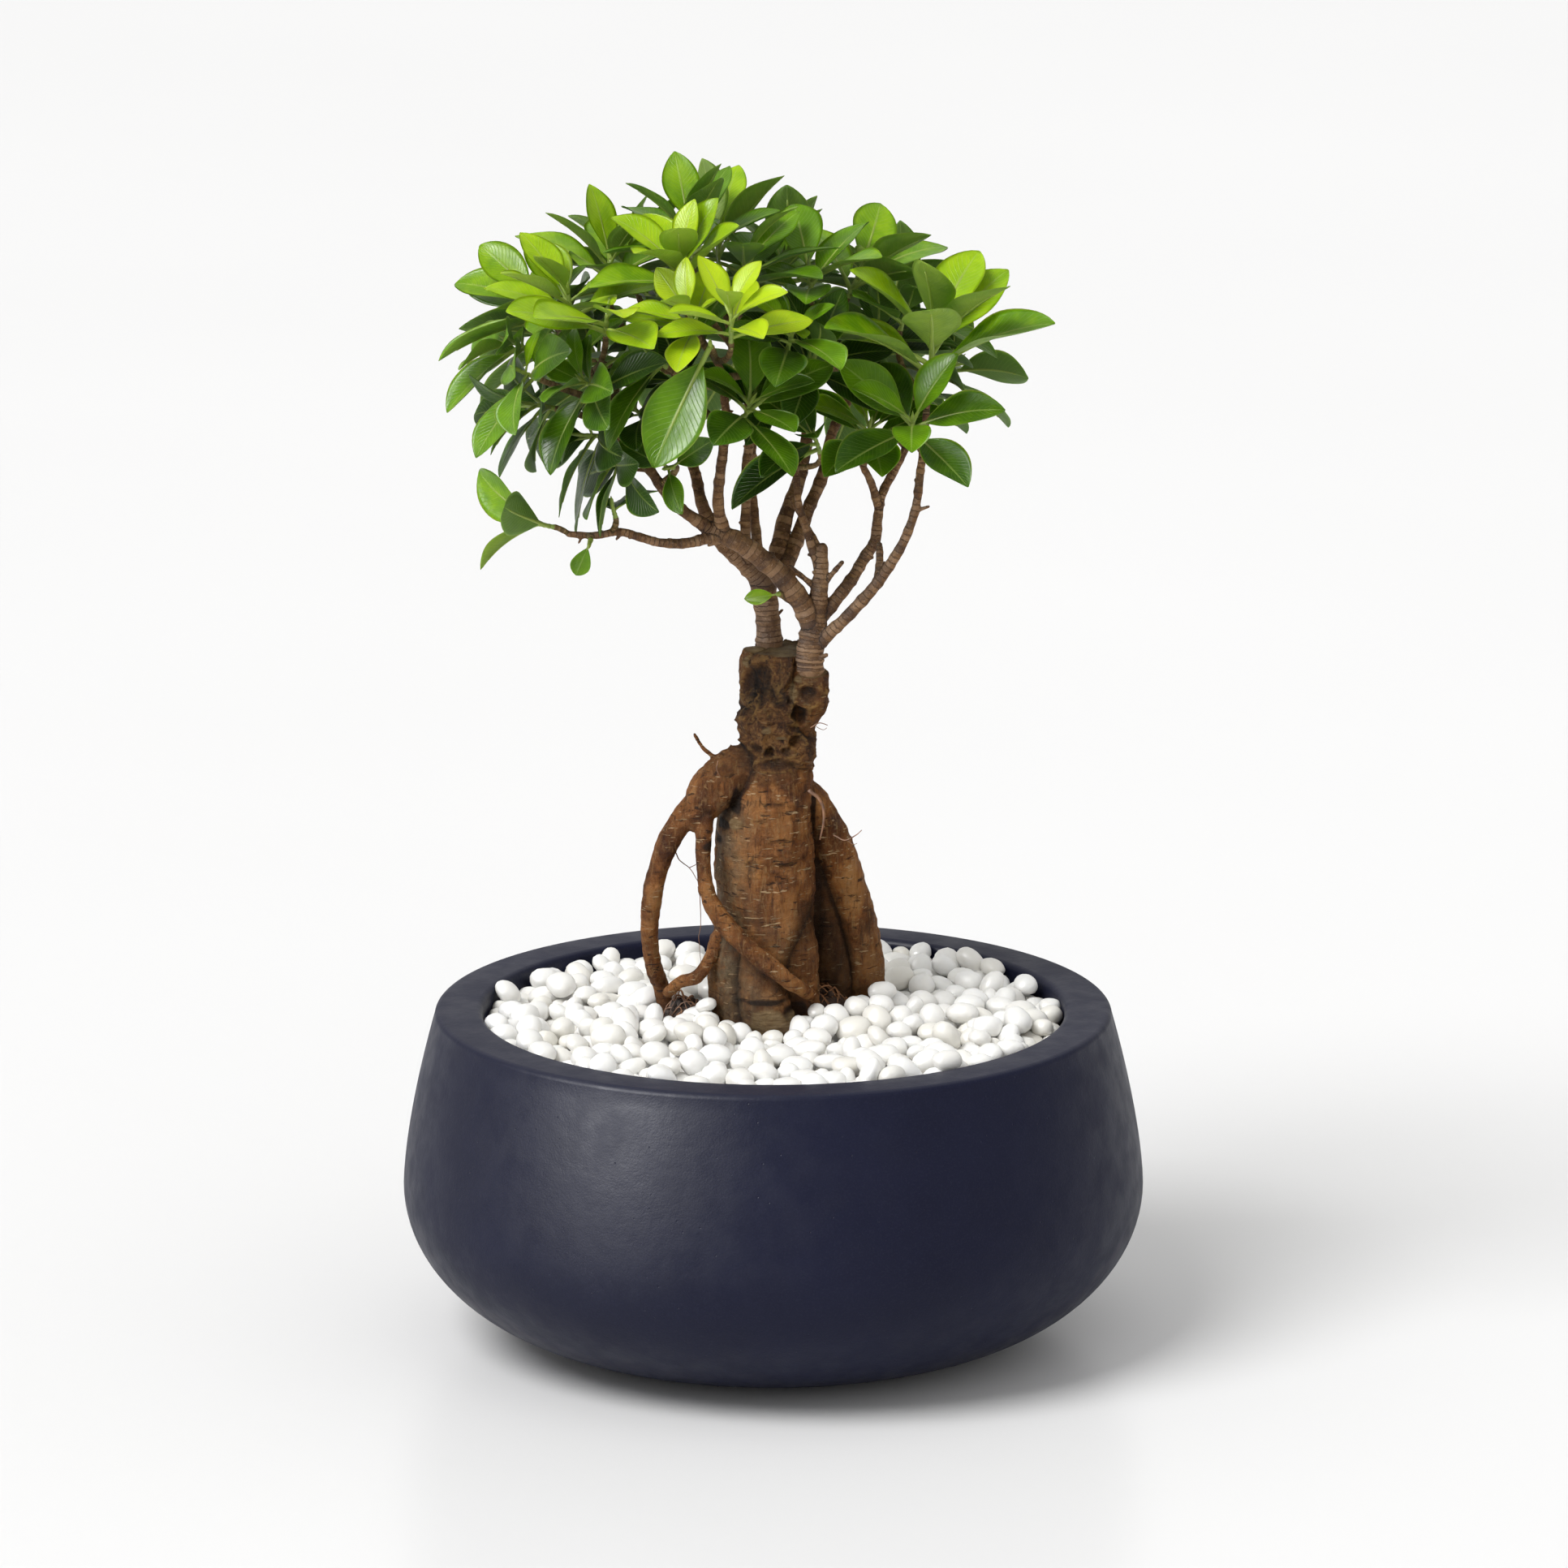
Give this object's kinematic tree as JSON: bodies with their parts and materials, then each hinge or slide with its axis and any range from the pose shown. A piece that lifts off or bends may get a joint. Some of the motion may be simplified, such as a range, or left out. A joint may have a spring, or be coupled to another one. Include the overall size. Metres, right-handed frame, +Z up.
{
  "type": "potted bonsai tree",
  "caption": "Ginseng ficus bonsai with a swollen trunk, aerial roots and a leafy crown, in a round dark blue bowl topped with white pebbles.",
  "frame": {"origin": "middle of the bowl's flat base, on the surface that it stands on", "axes": "+Z up through the crown, -Y towards the front, +X to the right seen from the front"},
  "size_m": [0.274, 0.274, 0.4423],
  "materials": {
    "pot": "matte navy glaze, faintly grained",
    "soil": "dark brown peat and fibre, crumbly",
    "pebbles": "tumbled white, satin",
    "rootstock_bark": "smooth brown bark with lenticels and scars",
    "scion_bark": "fine ringed grey-brown bark",
    "leaves_new": "glossy lime green leaf",
    "leaves_mid": "glossy mid green leaf",
    "leaves_old": "glossy dark green leaf"
  },
  "bodies": {
    "root": {"pebble_layer": "pebbles", "pot": "pot", "rootstock": "rootstock_bark", "scion_left": "scion_bark", "scion_right": "scion_bark", "shoot_apex": "leaves_mid", "shoot_centre_dark": "leaves_old", "shoot_centre_deep": "leaves_old", "shoot_centre_fan": "leaves_mid", "shoot_centre_high": "leaves_mid", "shoot_centre_left": "leaves_mid", "shoot_centre_low_right": "leaves_old", "shoot_centre_new": "leaves_new", "shoot_centre_new_left": "leaves_new", "shoot_crown_front": "leaves_new", "shoot_crown_left": "leaves_mid", "shoot_crown_middle": "leaves_mid", "shoot_crown_right": "leaves_mid", "shoot_droop_left": "leaves_old", "shoot_droop_low": "leaves_old", "shoot_front_big_leaf": "leaves_mid", "shoot_high_right": "leaves_mid", "shoot_inner_crown": "leaves_old", "shoot_inner_left": "leaves_old", "shoot_inner_low": "leaves_old", "shoot_inner_right": "leaves_old", "shoot_left_front": "leaves_mid", "shoot_left_gap": "leaves_old", "shoot_left_lower": "leaves_old", "shoot_left_middle": "leaves_mid", "shoot_left_middle_high": "leaves_mid", "shoot_left_tip": "leaves_mid", "shoot_left_upper": "leaves_mid", "shoot_lime_left": "leaves_new", "shoot_low_single": "leaves_mid", "shoot_low_sprig": "leaves_mid", "shoot_low_tip": "leaves_mid", "shoot_rear_crown": "leaves_mid", "shoot_rear_inner": "leaves_old", "shoot_rear_left": "leaves_mid", "shoot_rear_left_high": "leaves_mid", "shoot_rear_low_left": "leaves_old", "shoot_rear_low_middle": "leaves_old", "shoot_rear_low_right": "leaves_old", "shoot_rear_middle": "leaves_mid", "shoot_rear_right": "leaves_old", "shoot_rear_right_high": "leaves_mid", "shoot_right_collar": "leaves_mid", "shoot_right_front": "leaves_mid", "shoot_right_high": "leaves_mid", "shoot_right_low_rear": "leaves_old", "shoot_right_middle": "leaves_old", "shoot_right_rosette": "leaves_mid", "shoot_stem_leaf": "leaves_mid", "shoot_top_left": "leaves_new", "shoot_top_right": "leaves_mid", "shoot_under_left": "leaves_mid", "soil": "soil"}
  },
  "joints": []
}
